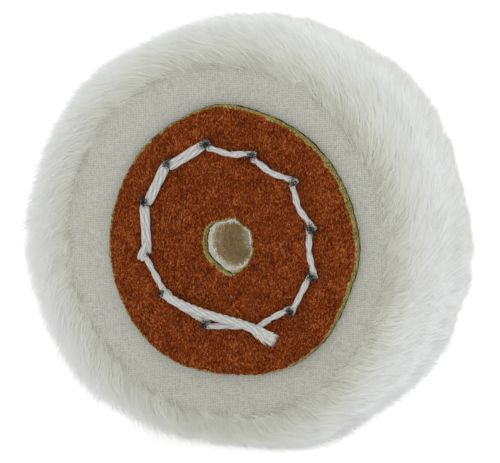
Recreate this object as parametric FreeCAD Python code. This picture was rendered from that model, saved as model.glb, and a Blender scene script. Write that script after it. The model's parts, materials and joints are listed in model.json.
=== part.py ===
"""Stitched cotton polishing wheel (a buff) with a leather disc sewn to each face.

Fifty round plies of woven cotton are laid face to face between two leather discs. One length of cotton
twine is sewn round through the whole stack, out over both faces, and ends in a short loose tail on the
front. A plain hole runs through the middle for a spindle.

Frame: millimetres, +Z up, origin at the middle of the hole, wheel axis along Y, front face towards -Y.
Angles on a face are in degrees from +X towards +Z.
"""
import FreeCAD
import Part
import math
import os

# --- driving dimensions, mm ---
WHEEL_RADIUS = 50.8
BORE_RADIUS = 6.35
PLY_COUNT = 50
PLY_THICKNESS = 0.4
SHOULDER_DEPTH = 6.0      # the rim rounds off over this much of the stack at each face
SHOULDER_DROP = 5.5       # how much smaller a ply at the very face would be
LEATHER_THICKNESS = 2.5
DIP_DEPTH = 0.3           # the leather is pulled in along the ring of stitches
DIP_INNER = 16.0
DIP_OUTER = 25.0
TWINE_RADIUS = 0.8
TWINE_BITE = 0.3          # how far the tight stitches sink further into the leather
GROOVE_CLEARANCE = 0.04   # round the twine, in its grooves in the leather
HOLE_CLEARANCE = 0.1      # round the twine, in the holes through leather and cloth
TWINE_BEND = 1.6          # where the twine turns from a hole on to a face
PASSAGE_OFFSET = 0.88     # the two passages of a hole lie this far either side of its centre
START_DEPTH = 6.0         # how deep the twine's first end is tucked into its hole
TAIL_RADIUS = 1.0
KNOT_RADIUS = 1.3
KNOT_CLEARANCE = 0.02     # between the knot and the leather

# Outline of each leather disc, cut by hand: (angle, radius).
FRONT_OUTLINE = [(0, 31.2), (24, 30.7), (52, 30.7), (78, 30.7), (95, 31.4), (113, 30.4), (135, 30.0),
                 (158, 29.6), (180, 30.1), (205, 30.6), (229, 31.3), (250, 30.9), (272, 30.2), (293, 31.1),
                 (320, 31.2), (342, 30.6)]
REAR_OUTLINE = [(0, 30.6), (30, 31.1), (58, 30.5), (90, 30.2), (118, 31.2), (150, 30.8), (176, 30.3),
                (205, 31.0), (236, 30.4), (262, 30.9), (290, 31.3), (325, 30.3)]

# Centre of each stitch hole, going clockwise round the front: (angle, radius).
STITCH_HOLES = [(157, 22.2), (130, 22.9), (103, 22.8), (73, 21.1), (42, 21.7), (12, 20.9), (-17, 21.8),
                (-43, 21.2), (-72, 20.0), (-106, 19.5), (-143, 20.3), (-172, 20.9)]
TAIL_HOLE = 10            # the hole where the sewing starts and ends
KNOT_HOLE = 11            # the hole that the knot sits over

# The loose tail's route, from the back of the front leather disc to its cut end.
TAIL_ROUTE = [(-13.4, -10.0, -12.0), (-13.4, -14.6, -12.0), (-9.8, -14.6, -14.9), (-5.2, -14.6, -17.0),
              (-0.4, -14.6, -18.1), (4.2, -14.6, -18.9), (8.3, -14.4, -20.1), (12.3, -13.6, -21.8)]

# --- worked out from those ---
STACK_HALF = PLY_COUNT * PLY_THICKNESS / 2
FACE = STACK_HALF + LEATHER_THICKNESS             # a leather disc's outer face, from the middle
DIP_FLOOR = FACE - DIP_DEPTH
TWINE_LEVEL = DIP_FLOOR + TWINE_RADIUS - TWINE_BITE    # a stitch's centreline, from the middle
SLOT_RADIUS = TWINE_RADIUS + HOLE_CLEARANCE
Y_AXIS = FreeCAD.Vector(0, 1, 0)


def on_face(angle, radius, y=0.0):
    """The point at that angle and radius from the wheel's axis."""
    a = math.radians(angle)
    return FreeCAD.Vector(radius * math.cos(a), y, radius * math.sin(a))


def circle_wire(x, z, radius, y):
    """A circle square to the wheel's axis."""
    return Part.Wire([Part.makeCircle(radius, FreeCAD.Vector(x, y, z), Y_AXIS)])


def outline_wire(outline, y):
    """A closed smooth curve through an outline's points."""
    curve = Part.BSplineCurve()
    curve.interpolate([on_face(a, r, y) for a, r in outline], PeriodicFlag=True)
    return Part.Wire([curve.toShape()])


def slot_wire(angle, radius, y):
    """The long hole that the two passages of a stitch hole share."""
    along = on_face(angle, 1.0)
    across = FreeCAD.Vector(-along.z, 0, along.x)
    outer = on_face(angle, radius + PASSAGE_OFFSET, y)
    inner = on_face(angle, radius - PASSAGE_OFFSET, y)
    side = across * SLOT_RADIUS
    tip = along * SLOT_RADIUS
    return Part.Wire([
        Part.LineSegment(inner + side, outer + side).toShape(),
        Part.Arc(outer + side, outer + tip, outer - side).toShape(),
        Part.LineSegment(outer - side, inner - side).toShape(),
        Part.Arc(inner - side, inner - tip, inner + side).toShape(),
    ])


def punched(outer_wire, y, thickness, last_radius=SLOT_RADIUS):
    """A flat sheet inside that wire, from y to y + thickness, with the spindle hole and the stitch holes.

    The last hole is the round one that the loose tail comes out of.
    """
    tail = TAIL_ROUTE[0]
    holes = [circle_wire(0, 0, BORE_RADIUS, y)]
    holes += [slot_wire(a, r, y) for a, r in STITCH_HOLES]
    holes += [circle_wire(tail[0], tail[2], last_radius, y)]
    sheet = Part.Face([outer_wire] + holes, "Part::FaceMakerBullseye")
    return sheet.extrude(Y_AXIS * thickness)


def ply_radius(y):
    """The stack's radius at y: full in the middle, rounded off towards each face."""
    into = max(0.0, abs(y) - (STACK_HALF - SHOULDER_DEPTH)) / SHOULDER_DEPTH
    return WHEEL_RADIUS - SHOULDER_DROP * (1 - math.sqrt(1 - into * into))


def cotton_ply(number):
    """One round of woven cotton, counted from the front."""
    y = -STACK_HALF + (number - 1) * PLY_THICKNESS
    rim = circle_wire(0, 0, ply_radius(y + PLY_THICKNESS / 2), y)
    return punched(rim, y, PLY_THICKNESS)


def stitched_dip(y):
    """The ring that the stitches pull in, from y to y + DIP_DEPTH."""
    ring = Part.Face([circle_wire(0, 0, DIP_OUTER, y), circle_wire(0, 0, DIP_INNER, y)],
                     "Part::FaceMakerBullseye")
    return ring.extrude(Y_AXIS * DIP_DEPTH)


def front_leather_disc(grooves):
    """The front leather disc, with a wider hole where the tail comes out."""
    disc = punched(outline_wire(FRONT_OUTLINE, -FACE), -FACE, LEATHER_THICKNESS, TAIL_RADIUS + HOLE_CLEARANCE)
    return disc.cut(stitched_dip(-FACE)).cut(grooves)


def rear_leather_disc(grooves):
    """The rear leather disc."""
    disc = punched(outline_wire(REAR_OUTLINE, STACK_HALF), STACK_HALF, LEATHER_THICKNESS)
    return disc.cut(stitched_dip(DIP_FLOOR)).cut(grooves)


def corner_radius(before, corner, after):
    """The largest arc that a route's corner has room for."""
    a, b = corner - before, after - corner
    turn = a.getAngle(b)
    return 0.45 * min(a.Length, b.Length) / math.tan(turn / 2)


def rounded_path(points, radius=None):
    """A wire of straight runs with a tangent arc at each corner. Without a radius, each arc is as large as fits."""
    edges = []
    radii = []
    start = points[0]
    for before, corner, after in zip(points, points[1:], points[2:]):
        a = (corner - before).normalize()
        b = (after - corner).normalize()
        half = a.getAngle(b) / 2
        r = radius or corner_radius(before, corner, after)
        radii.append(round(r, 1))
        reach = r * math.tan(half)
        enter, leave = corner - a * reach, corner + b * reach
        inward = (b - a).normalize()
        middle = corner + inward * (r / math.cos(half) - r)
        edges.append(Part.LineSegment(start, enter).toShape())
        edges.append(Part.Arc(enter, middle, leave).toShape())
        start = leave
    edges.append(Part.LineSegment(start, points[-1]).toShape())
    print("bend radii", sorted(set(radii)))
    return Part.Wire(edges)


def tube(path, radius):
    """A round cord along a path."""
    first = path.Edges[0]
    start = first.valueAt(first.FirstParameter)
    section = Part.Wire([Part.makeCircle(radius, start, first.tangentAt(first.FirstParameter))])
    solid = path.makePipeShell([section], True, False)
    length = path.Length
    print("tube", round(solid.Volume, 2), "against", round(math.pi * radius * radius * length, 2),
          "length", round(length, 1))
    return solid


def passage(hole, outer, y):
    """Where the outer or the inner passage of a hole meets the level y."""
    angle, radius = STITCH_HOLES[hole % len(STITCH_HOLES)]
    return on_face(angle, radius + (PASSAGE_OFFSET if outer else -PASSAGE_OFFSET), y)


def sewing_route():
    """The corners of the twine's route: once round from the tail's hole, then back again.

    A running stitch goes over and under in turn, so one round covers every other gap of each face and the
    way back covers the rest. Going clockwise, a stitch on the front leaves a hole by its inner passage and
    enters the next by its outer one, and a stitch on the back does the opposite, so no two cross.
    """
    count = len(STITCH_HOLES)
    front, back = -TWINE_LEVEL, TWINE_LEVEL
    route = [passage(TAIL_HOLE, False, front + START_DEPTH)]
    level = front
    for step in range(count):
        here = TAIL_HOLE + step
        route.append(passage(here, level == back, level))
        route.append(passage(here + 1, level == front, level))
        level = back if level == front else front
    # The way back starts on the front, from the outer passage of the tail's hole.
    route[-1] = passage(TAIL_HOLE, True, back)
    level = front
    for step in range(count):
        here = TAIL_HOLE + count - step
        route.append(passage(here, level == front, level))
        route.append(passage(here - 1, level == back, level))
        level = back if level == front else front
    tail = TAIL_ROUTE[0]
    route[-1] = FreeCAD.Vector(tail[0], back, tail[2])
    route.append(FreeCAD.Vector(*tail))
    return route


def knot():
    """The small knot in the twine over its hole, with a short stub, flat where it lies on the leather."""
    angle, radius = STITCH_HOLES[KNOT_HOLE]
    centre = on_face(angle, radius + PASSAGE_OFFSET, -TWINE_LEVEL)
    stub_end = on_face(angle - 3, radius + PASSAGE_OFFSET + 2.9, -TWINE_LEVEL)
    stub = Part.makeCylinder(TWINE_RADIUS * 0.9, (stub_end - centre).Length, centre, stub_end - centre)
    lies_at = -DIP_FLOOR - KNOT_CLEARANCE
    above_leather = Part.makeBox(20, 4, 20, FreeCAD.Vector(centre.x - 10, lies_at - 4, centre.z - 10))
    return Part.makeSphere(KNOT_RADIUS, centre).fuse(stub).common(above_leather)


def export(name, shape):
    """One STEP file per piece."""
    solids = shape.Solids
    if len(solids) != 1 or not shape.isValid():
        print("CHECK", name, "solids", len(solids), "valid", shape.isValid())
    solids[0].exportStep("parts/" + name + ".step")


def main():
    os.makedirs("parts", exist_ok=True)
    path = rounded_path(sewing_route(), TWINE_BEND)
    twine = tube(path, TWINE_RADIUS)
    grooves = tube(path, TWINE_RADIUS + GROOVE_CLEARANCE)
    tail_path = rounded_path([FreeCAD.Vector(*p) for p in TAIL_ROUTE])

    export("leather_disc_front", front_leather_disc(grooves))
    export("leather_disc_rear", rear_leather_disc(grooves))
    for number in range(1, PLY_COUNT + 1):
        export(f"cotton_ply_{number:02d}", cotton_ply(number))
    export("stitching_twine", twine.fuse(knot()))
    export("twine_tail", tube(tail_path, TAIL_RADIUS))


main()
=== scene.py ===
"""Looks of a stitched cotton polishing wheel: frayed cotton plies, two suede leather discs and cotton twine.

Metres, +Z up, the wheel's axis along Y with the front face towards -Y. Angles on a face are in degrees from
+X towards +Z. Places and sizes come from the frame, or are named values below. What is made once for each
face of the wheel takes side, which is -1 at the front and 1 at the rear.
"""
import json
import math

import bmesh
import bpy
import numpy as np
from mathutils import Matrix, Vector
from mathutils.bvhtree import BVHTree

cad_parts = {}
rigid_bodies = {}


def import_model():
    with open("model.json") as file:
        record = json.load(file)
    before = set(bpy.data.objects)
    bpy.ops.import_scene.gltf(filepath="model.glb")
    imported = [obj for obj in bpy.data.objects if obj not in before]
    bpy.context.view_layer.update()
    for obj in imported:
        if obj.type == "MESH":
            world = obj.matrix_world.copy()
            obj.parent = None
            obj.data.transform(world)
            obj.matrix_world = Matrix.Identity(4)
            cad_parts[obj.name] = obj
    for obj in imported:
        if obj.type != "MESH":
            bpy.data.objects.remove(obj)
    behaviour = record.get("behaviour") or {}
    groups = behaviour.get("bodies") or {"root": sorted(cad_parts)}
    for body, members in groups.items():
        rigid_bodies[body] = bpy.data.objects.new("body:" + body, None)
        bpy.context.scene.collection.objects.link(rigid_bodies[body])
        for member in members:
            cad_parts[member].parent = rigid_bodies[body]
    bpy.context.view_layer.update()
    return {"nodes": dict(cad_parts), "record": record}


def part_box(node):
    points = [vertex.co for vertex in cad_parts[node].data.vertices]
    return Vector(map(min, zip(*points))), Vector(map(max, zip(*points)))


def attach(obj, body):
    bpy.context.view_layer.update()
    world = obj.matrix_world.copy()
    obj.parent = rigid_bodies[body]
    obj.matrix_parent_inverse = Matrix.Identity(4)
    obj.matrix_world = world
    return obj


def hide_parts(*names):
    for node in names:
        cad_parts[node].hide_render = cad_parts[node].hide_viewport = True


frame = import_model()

MM = 0.001
FULL_TURN = 2 * math.pi
FACE_NAME = {-1: "front", 1: "rear"}

# --- what the frame says ---
PLIES = sorted(n for n in frame["nodes"] if n.startswith("cotton_ply_"))
BORE_RADIUS = frame["record"]["mounts"][0]["dims"]["r_mm"] * MM
STACK_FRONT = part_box(PLIES[0])[0].y
STACK_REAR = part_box(PLIES[-1])[1].y
PLY_PITCH = (STACK_REAR - STACK_FRONT) / len(PLIES)
RIM_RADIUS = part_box(PLIES[len(PLIES) // 2])[1].x
LEATHER_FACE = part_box("leather_disc_rear")[1].y

# --- the fluffy rim ---
WEAVE_RADIUS = 41.7 * MM      # where the outermost plies stop being cloth and start being fluff
WEAVE_SHIFT = 1.5 * MM        # and how far that ring lies off the middle, towards -X
FLOOR_LEVEL = -48.2 * MM      # the wheel stands on its rim, which presses the fluff flat
RIM_REACH = 52.2 * MM         # how far out the fluff stands on its crown
FLUFF_HALF = 14.0 * MM        # half the fluff's width along the axis
FLUFF_SQUARENESS = 3.4        # 2 is an ellipse, more is boxier
FRAY_DEPTH = 4.2 * MM         # how far in from its cut edge a ply is frayed
FIBRES_PER_PLY = 2320
FIBRE_WIDTH = 0.108 * MM      # half the width of a fibre at its root
FIBRE_FLATNESS = 0.6          # a fibre's thickness over its width
LOCKS = 2600                  # tufts that the fluff gathers into
LAST_TURN = 82                # degrees from the crown to where the outermost ply's fluff ends
CROWN_LEAN = 3.4 * MM         # how far a fibre leans round the wheel on the crown
FACE_LEAN = 8.0 * MM          # and at the front and rear edges
SOFT_LANDING = 1.2 * MM       # the height over which fibres bend flat above the floor
# The rim's outline isn't a true circle: it is fuller at the left and pressed flat where it stands.
# Each bulge has its angle and half width in degrees, and its height in mm.
OUTLINE_BULGES = [(184, 30, 3.4), (222, 15, 1.7), (243, 10, -1.9), (266, 18, -4.3), (307, 17, -2.2),
                  (355, 15, 0.7), (42, 17, 1.7), (17, 7, -0.5), (74, 10, 0.5), (113, 15, -0.9),
                  (142, 12, 0.9), (165, 8, -0.6), (326, 12, 0.5)]

# --- the cloth and the leather ---
PLY_THICKNESS = 0.34 * MM
SLOT_RADIUS = 1.5 * MM        # what each stitch hole takes out of the plies
# The leather's spindle hole was cut by hand and isn't round: where it is wider or narrower than the bore, as
# angle, half width and height like the rim's bulges.
HOLE_NICKS = [(105, 28, -1.1), (52, 17, -0.9), (277, 13, 0.85), (229, 20, -0.45), (180, 24, -0.5),
              (2, 26, -0.45)]
REAR_HOLE_TURN = 140          # degrees that the rear disc's hole is turned from the front one's

# --- the twine, as sewn ---
STITCH_HOLES = [(157, 22.2), (130, 22.9), (103, 22.8), (73, 21.1), (42, 21.7), (12, 20.9), (-17, 21.8),
                (-43, 21.2), (-72, 20.0), (-106, 19.5), (-143, 20.3), (-172, 20.9)]
SEWING_END = (-13.4, -10.0, -12.0)    # where the sewing ends inside the wheel, in mm
# The loose end, in mm. It lies nearer to the stitches than the solid's route, and is a little shorter, for
# the frayed end goes on from it.
TAIL_ROUTE = [(-15.4, -10.0, -12.2), (-15.3, -14.3, -12.3), (-11.2, -14.7, -14.1), (-6.3, -14.6, -15.7),
              (-0.9, -14.6, -16.9), (3.8, -14.6, -17.7), (7.6, -14.4, -18.9), (10.6, -13.7, -20.8)]
TAIL_HOLE = 10                # the stitch hole that it comes out of
TWINE_LEVEL = 12.7 * MM       # a stitch's middle, from the wheel's middle
TUFT_LEVEL = 12.4 * MM        # where the dark fibres at a stitch hole are rooted
START_DEPTH = 6 * MM          # how deep in its hole the sewing starts
PASSAGE_OFFSET = 0.5 * MM     # from a stitch hole's middle to either run of twine in it
STITCH_TWIST = 3.4 * MM       # about half a turn of the twine's two strands
# A gap goes by the number of the stitch hole that it starts from.
OPEN_GAPS = (11, 0, 1)        # here the twine's two strands lie side by side
BOWS = {2: 0.9, 3: 0.9, 4: 1.1, 5: 0.6, 7: 0.3}    # how far the stitches bow towards the middle, in mm

# --- the studio: each lamp has the way that its light comes from, its spread in degrees and its strength ---
LAMPS = [("lamp_above", (-0.1, 0.0, 0.9), 80, 0.56), ("lamp_right", (0.9, -0.3, 0.0), 60, 0.75),
         ("lamp_front", (-0.3, -0.9, 0.35), 70, 0.09)]


def rng(seed):
    """A random source of its own for each piece, the same in every run."""
    return np.random.default_rng(seed)


def bell(value, centre, width):
    """1 at the centre, falling smoothly to nearly 0 two widths away."""
    return np.exp(-((value - centre) / width) ** 2)


def bulges(degrees, places):
    """The sum of the bell-shaped bulges at an angle, in metres."""
    total = 0.0 * degrees
    for centre, width, height in places:
        away = (degrees - centre + 180) % 360 - 180
        total = total + height * bell(away, 0, width)
    return total * MM


# ---------------------------------------------------------------- shader helpers

class Nodes:
    """A node tree being built: each call adds one node and links its inputs."""

    def __init__(self, tree):
        self.tree = tree
        tree.nodes.clear()

    def add(self, kind, inputs=None, **settings):
        node = self.tree.nodes.new(kind)
        for key, value in settings.items():
            setattr(node, key, value)
        for key, value in (inputs or {}).items():
            if isinstance(value, bpy.types.NodeSocket):
                self.tree.links.new(value, node.inputs[key])
            else:
                node.inputs[key].default_value = value
        return node

    def math(self, operation, a, b=0.0):
        return self.add("ShaderNodeMath", {0: a, 1: b}, operation=operation).outputs[0]

    def plus(self, a, b):
        return self.math("ADD", a, b)

    def minus(self, a, b):
        return self.math("SUBTRACT", a, b)

    def times(self, a, b):
        return self.math("MULTIPLY", a, b)

    def sine(self, a):
        return self.math("SINE", a)

    def noise(self, vector, scale, detail=3.0, roughness=0.5):
        node = self.add("ShaderNodeTexNoise", {"Vector": vector, "Scale": scale, "Detail": detail,
                                               "Roughness": roughness})
        return node.outputs["Fac"]

    def spread(self, value, low, high, to_low=0.0, to_high=1.0):
        node = self.add("ShaderNodeMapRange", {"Value": value, "From Min": low, "From Max": high,
                                               "To Min": to_low, "To Max": to_high})
        return node.outputs["Result"]

    def ramp(self, value, *stops):
        """A colour ramp through (position, colour) stops."""
        node = self.add("ShaderNodeValToRGB", {"Fac": value})
        elements = node.color_ramp.elements
        for _ in stops[2:]:
            elements.new(0.5)
        for element, (position, colour) in zip(elements, stops):
            element.position = position
            element.color = (*colour, 1)
        return node.outputs["Color"]

    def mix(self, share, a, b, blend="MIX"):
        node = self.add("ShaderNodeMix", {"Factor": share}, data_type="RGBA", blend_type=blend)
        for socket, value in ((node.inputs[6], a), (node.inputs[7], b)):
            if isinstance(value, bpy.types.NodeSocket):
                self.tree.links.new(value, socket)
            else:
                socket.default_value = (*value, 1)
        return node.outputs[2]

    def stretched(self, vector, scale):
        return self.add("ShaderNodeMapping", {"Vector": vector, "Scale": scale}).outputs[0]

    def bump(self, height, distance, strength=1.0):
        return self.add("ShaderNodeBump", {"Height": height, "Distance": distance,
                                           "Strength": strength}).outputs["Normal"]

    def attribute(self, name):
        return self.add("ShaderNodeAttribute", attribute_name=name).outputs["Fac"]

    def finish(self, colour, roughness=0.9, normal=None, **constants):
        inputs = {"Base Color": colour, "Roughness": roughness, "Specular IOR Level": 0.15, **constants}
        if normal is not None:
            inputs["Normal"] = normal
        shader = self.add("ShaderNodeBsdfPrincipled", inputs)
        output = self.add("ShaderNodeOutputMaterial")
        self.tree.links.new(shader.outputs["BSDF"], output.inputs["Surface"])


def new_material(name):
    material = bpy.data.materials.new(name)
    material.use_nodes = True
    return material, Nodes(material.node_tree)


def fibre_mottle_group():
    """Soft mottling of a given size. Value is about 1 in the middle."""
    group = bpy.data.node_groups.new("fibre_mottle", "ShaderNodeTree")
    group.interface.new_socket("Vector", in_out="INPUT", socket_type="NodeSocketVector")
    group.interface.new_socket("Size", in_out="INPUT", socket_type="NodeSocketFloat")
    group.interface.new_socket("Amount", in_out="INPUT", socket_type="NodeSocketFloat")
    group.interface.new_socket("Value", in_out="OUTPUT", socket_type="NodeSocketFloat")
    n = Nodes(group)
    given = n.add("NodeGroupInput")
    scale = n.math("DIVIDE", 1.0, given.outputs["Size"])
    spots = n.noise(given.outputs["Vector"], scale, detail=4.0, roughness=0.6)
    value = n.plus(n.times(n.minus(spots, 0.5), given.outputs["Amount"]), 1.0)
    out = n.add("NodeGroupOutput")
    n.tree.links.new(value, out.inputs["Value"])
    return group


MOTTLE = fibre_mottle_group()


def mottle(n, vector, size, amount):
    """Adds the mottling group to a material and gives its value."""
    node = n.add("ShaderNodeGroup", node_tree=MOTTLE)
    n.tree.links.new(vector, node.inputs["Vector"])
    node.inputs["Size"].default_value = size
    node.inputs["Amount"].default_value = amount
    return node.outputs["Value"]


def place(n):
    """Each point's own place on the wheel, in metres."""
    return n.add("ShaderNodeTexCoord").outputs["Object"]


# ---------------------------------------------------------------- materials

def fluff_material():
    """Frayed cotton: off-white; down at the roots yellower like the cloth, and darker as painted shade."""
    material, n = new_material("frayed_cotton")
    colour = n.ramp(n.attribute("tone"), (0.0, (0.52, 0.515, 0.43)), (0.35, (0.72, 0.725, 0.64)),
                    (0.85, (0.92, 0.93, 0.915)), (1.0, (0.95, 0.965, 0.975)))
    speckle = mottle(n, place(n), 2.2 * MM, 0.10)
    grey = n.add("ShaderNodeCombineColor", {0: speckle, 1: speckle, 2: speckle}).outputs[0]
    cotton = n.mix(1.0, colour, grey, "MULTIPLY")
    # The glow stands for the light that goes round inside a deep pile of thin white threads.
    n.finish(cotton, roughness=0.95, **{"Emission Color": cotton, "Emission Strength": 0.22})
    return material


def weave_material():
    """Plain-woven unbleached cotton. Threads run along X and Z."""
    material, n = new_material("woven_cotton")
    where = place(n)
    thread_pitch = 0.42 * MM
    xyz = n.add("ShaderNodeSeparateXYZ", {"Vector": where})
    drift = n.times(n.minus(n.noise(where, 260.0, detail=2.0), 0.5), 5.0)
    warp = n.plus(n.times(xyz.outputs["X"], math.pi / thread_pitch), drift)
    weft = n.minus(n.times(xyz.outputs["Z"], math.pi / thread_pitch), drift)
    crossing = n.times(n.sine(warp), n.sine(weft))
    over = n.times(n.math("ABSOLUTE", n.sine(warp)), n.plus(n.times(crossing, 0.5), 0.5))
    under = n.times(n.math("ABSOLUTE", n.sine(weft)), n.minus(0.5, n.times(crossing, 0.5)))
    height = n.math("MAXIMUM", over, under)
    across = n.noise(n.stretched(where, (0.2, 1.0, 1.0)), 2600.0, detail=3.0, roughness=0.7)
    upward = n.noise(n.stretched(where, (1.0, 1.0, 0.2)), 2600.0, detail=3.0, roughness=0.7)
    slubs = n.times(n.plus(across, upward), 0.5)
    uneven = n.spread(n.noise(where, 2200.0, detail=2.0, roughness=0.6), 0.3, 0.7, 0.52, 1.45)
    # Painted shade: the threads are painted darker down between them; the slubs are the yarn's own tone.
    lit = n.times(n.spread(height, 0.0, 0.9, 0.15, 1.0), n.spread(slubs, 0.35, 0.65, 0.72, 1.15))
    thread = n.ramp(n.times(lit, uneven), (0.0, (0.34, 0.33, 0.26)), (0.45, (0.55, 0.55, 0.485)),
                    (1.0, (0.73, 0.73, 0.68)))
    tint = n.spread(n.noise(where, 420.0, detail=3.0), 0.4, 0.7)
    colour = n.mix(tint, thread, n.mix(1.0, thread, (1.0, 0.985, 0.92), "MULTIPLY"))
    n.finish(colour, roughness=0.95, normal=n.bump(height, 0.12 * MM, 0.8))
    return material


def suede_material():
    """Red-brown suede with a tan and orange fleck, olive where the leather is cut."""
    material, n = new_material("suede_leather")
    where = place(n)
    flecks = n.noise(n.stretched(where, (1.0, 1.0, 0.6)), 3000.0, detail=4.0, roughness=0.7)
    patches = n.noise(where, 300.0, detail=3.0)
    both = n.plus(n.times(flecks, 0.85), n.times(patches, 0.15))
    brown = n.ramp(both, (0.36, (0.04, 0.008, 0.003)), (0.46, (0.13, 0.023, 0.006)),
                   (0.54, (0.26, 0.049, 0.008)), (0.64, (0.48, 0.16, 0.045)))
    olive = n.ramp(both, (0.36, (0.05, 0.04, 0.008)), (0.48, (0.24, 0.19, 0.045)), (0.62, (0.56, 0.49, 0.20)))
    # Painted shade: the foot of each cut edge is painted nearly black, for the shadow where the leather meets
    # the cloth.
    colour = n.mix(n.attribute("painted_edge_shade"), n.mix(n.attribute("cut"), brown, olive), (0.035, 0.028, 0.012))
    n.finish(colour, roughness=0.95, normal=n.bump(flecks, 0.2 * MM, 0.6), **{"Specular IOR Level": 0.03})
    return material


def nap_material():
    """The suede's raised fibres."""
    material, n = new_material("suede_nap")
    colour = n.ramp(n.attribute("tone"), (0.0, (0.05, 0.010, 0.003)), (0.5, (0.19, 0.037, 0.008)),
                    (0.8, (0.37, 0.092, 0.020)), (1.0, (0.55, 0.24, 0.085)))
    n.finish(colour, roughness=0.95, **{"Specular IOR Level": 0.03})
    return material


def twine_material():
    """Twisted white cotton. The strand's own UV runs along it."""
    material, n = new_material("cotton_twine")
    uv = n.add("ShaderNodeUVMap", uv_map="strand").outputs[0]
    xyz = n.add("ShaderNodeSeparateXYZ", {"Vector": uv})
    yarn_pitch = 3.2 * MM
    around = n.times(xyz.outputs["X"], 4 * FULL_TURN)
    turns = n.plus(around, n.times(xyz.outputs["Y"], FULL_TURN / yarn_pitch))
    yarns = n.plus(n.times(n.sine(turns), 0.5), 0.5)
    hairs = n.noise(n.stretched(uv, (14.0, 700.0, 1.0)), 1.0, detail=4.0, roughness=0.7)
    height = n.plus(n.times(yarns, 0.35), n.times(hairs, 0.65))
    # Painted shade: the colour is darker where the surface lies lower, between the yarns and the hairs.
    colour = n.ramp(height, (0.2, (0.34, 0.335, 0.31)), (0.5, (0.54, 0.54, 0.51)),
                    (0.85, (0.68, 0.685, 0.66)))
    # The glow is painted light that brightens the twine.
    n.finish(colour, roughness=0.9, normal=n.bump(height, 0.08 * MM, 0.6),
             **{"Emission Color": colour, "Emission Strength": 0.12})
    return material


def lint_material():
    """Loose cotton in the spindle hole: white at its mouths, painted shade brown deep inside, and a
    painted-light glow.
    """
    material, n = new_material("bore_lint")
    colour = n.ramp(n.attribute("tone"), (0.0, (0.10, 0.065, 0.03)), (0.4, (0.34, 0.26, 0.15)),
                    (0.7, (0.80, 0.66, 0.42)), (1.0, (0.95, 0.94, 0.91)))
    # The orange glow is painted light that lifts the shade deep in the hole.
    n.finish(colour, roughness=0.95, **{"Emission Color": (0.85, 0.62, 0.30, 1), "Emission Strength": 0.13})
    return material


def tuft_material():
    """The dark lint that stands out of the stitch holes."""
    material, n = new_material("dark_lint")
    colour = n.ramp(n.attribute("tone"), (0.0, (0.012, 0.012, 0.010)), (0.6, (0.05, 0.05, 0.04)),
                    (1.0, (0.20, 0.19, 0.15)))
    n.finish(colour, roughness=0.95)
    return material


# ---------------------------------------------------------------- mesh helpers

def piece_from(bm, name, material, smooth=True):
    """Turns a bmesh into a shown piece."""
    mesh = bpy.data.meshes.new(name)
    bm.to_mesh(mesh)
    bm.free()
    return piece_of(mesh, name, material, smooth)


def piece_of(mesh, name, material, smooth=True):
    """Shows a mesh as a piece that rides on the wheel."""
    obj = bpy.data.objects.new(name, mesh)
    bpy.context.scene.collection.objects.link(obj)
    mesh.materials.clear()
    mesh.materials.append(material)
    mesh.polygons.foreach_set("use_smooth", [smooth] * len(mesh.polygons))
    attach(obj, "root")
    return obj


def points_of(mesh):
    co = np.zeros(len(mesh.vertices) * 3, np.float32)
    mesh.vertices.foreach_get("co", co)
    return co.reshape(-1, 3).astype(float)


def set_points(mesh, points):
    mesh.vertices.foreach_set("co", np.asarray(points, np.float32).ravel())
    mesh.update()


def set_attribute(mesh, name, values):
    layer = mesh.attributes.new(name, "FLOAT", "POINT")
    layer.data.foreach_set("value", np.asarray(values, np.float32).ravel())


class Ripple:
    """A smooth random value round the wheel, about -1 to 1: waves of whole counts per turn. across is how far
    they shift as side changes."""

    def __init__(self, seed, counts, across=0.0):
        source = rng(seed)
        self.counts = np.array(counts)
        self.phases = source.uniform(0, FULL_TURN, len(counts))
        self.across = source.normal(0, across, len(counts)) if across else np.zeros(len(counts))

    def __call__(self, angle, side=0.0):
        angle = np.asarray(angle, float)
        total = np.zeros(np.broadcast(angle, side).shape)
        for count, phase, across in zip(self.counts, self.phases, self.across):
            total += np.sin(count * angle + phase + across * side)
        return total / math.sqrt(len(self.counts))


def normalised(v):
    return v / np.maximum(np.linalg.norm(v, axis=-1, keepdims=True), 1e-12)


def fibre_row(name, count):
    """A mesh of count closed pointed fibres, each a base ring, a middle ring and a tip."""
    bm = bmesh.new()
    bmesh.ops.create_cone(bm, cap_ends=True, segments=3, radius1=1, radius2=0, depth=1)
    bmesh.ops.bisect_plane(bm, geom=bm.verts[:] + bm.edges[:] + bm.faces[:], plane_co=(0, 0, 0),
                           plane_no=(0, 0, 1))
    mesh = bpy.data.meshes.new(name + "_one")
    bm.to_mesh(mesh)
    bm.free()
    one = bpy.data.objects.new(name + "_one", mesh)
    bpy.context.scene.collection.objects.link(one)
    row = one.modifiers.new("row", "ARRAY")
    row.count = count
    row.use_relative_offset = False
    row.use_constant_offset = True
    row.constant_offset_displace = (3, 0, 0)
    shape = points_of(mesh)
    made = bpy.data.meshes.new_from_object(one.evaluated_get(bpy.context.evaluated_depsgraph_get()))
    made.name = name
    bpy.data.objects.remove(one)
    bpy.data.meshes.remove(mesh)
    return made, shape


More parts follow.
